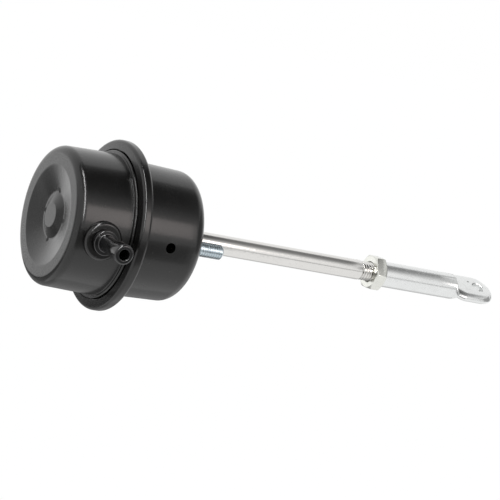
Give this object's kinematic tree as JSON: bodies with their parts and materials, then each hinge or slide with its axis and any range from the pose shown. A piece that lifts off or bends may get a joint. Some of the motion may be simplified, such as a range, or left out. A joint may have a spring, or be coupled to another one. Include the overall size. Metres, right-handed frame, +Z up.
{
  "type": "wastegate actuator",
  "caption": "Pneumatic wastegate actuator: crimped diaphragm can with a hose nipple and mounting studs, and a sliding push rod with a jam nut and an adjustable drilled rod end.",
  "frame": {"origin": "where the push rod's axis meets the flat mounting face at the end of the spring can", "axes": "+X along the push rod towards the rod end, -Y towards the hose nipple, the vent hole and the front stud, +Z up"},
  "size_m": [0.2053, 0.0801, 0.0654],
  "materials": {
    "black_paint": "satin black paint",
    "gloss_black": "gloss black",
    "bright_zinc": "bluish bright zinc",
    "polished_steel": "polished",
    "nickel_plate": "bright plate with a warm tint",
    "satin_steel": "pale satin",
    "inner_steel": "plain plated",
    "spring_steel": "dark oiled wire",
    "bush_bronze": "sintered bronze",
    "black_rubber": "matte",
    "seal_felt": "pale felt"
  },
  "bodies": {
    "can": {"spring_can": "black_paint", "pressure_cap": "black_paint", "nipple_boss": "black_paint", "hose_nipple": "gloss_black", "mounting_stud_front": "bright_zinc", "mounting_stud_rear": "bright_zinc", "stud_plate": "inner_steel", "guide_bush": "bush_bronze", "bush_retainer": "inner_steel", "wiper_seal": "seal_felt", "seal_retainer": "inner_steel", "diaphragm": "black_rubber", "return_spring": "spring_steel"},
    "rod": {"push_rod": "polished_steel", "piston_cup": "inner_steel", "rod_nut": "inner_steel", "lock_washer": "inner_steel", "diaphragm_plate": "inner_steel", "backing_washer": "inner_steel", "stop_sleeve": "inner_steel"},
    "nut": {"jam_nut": "nickel_plate"},
    "end": {"rod_end": "satin_steel"}
  },
  "joints": [
    {"name": "rod_slide", "type": "slide", "parent": "can", "child": "rod", "axis": [1, 0, 0], "range_m": [0, 0.012], "stiffness_N_per_m": 9500, "deforming": ["return_spring", "diaphragm"]},
    {"name": "jam_nut_turn", "type": "hinge", "parent": "rod", "child": "nut", "pos_m": [0.0916, 0, 0], "axis": [1, 0, 0], "continuous": true},
    {"name": "rod_end_turn", "type": "hinge", "parent": "rod", "child": "end", "pos_m": [0.1044, 0, 0], "axis": [1, 0, 0], "continuous": true}
  ]
}
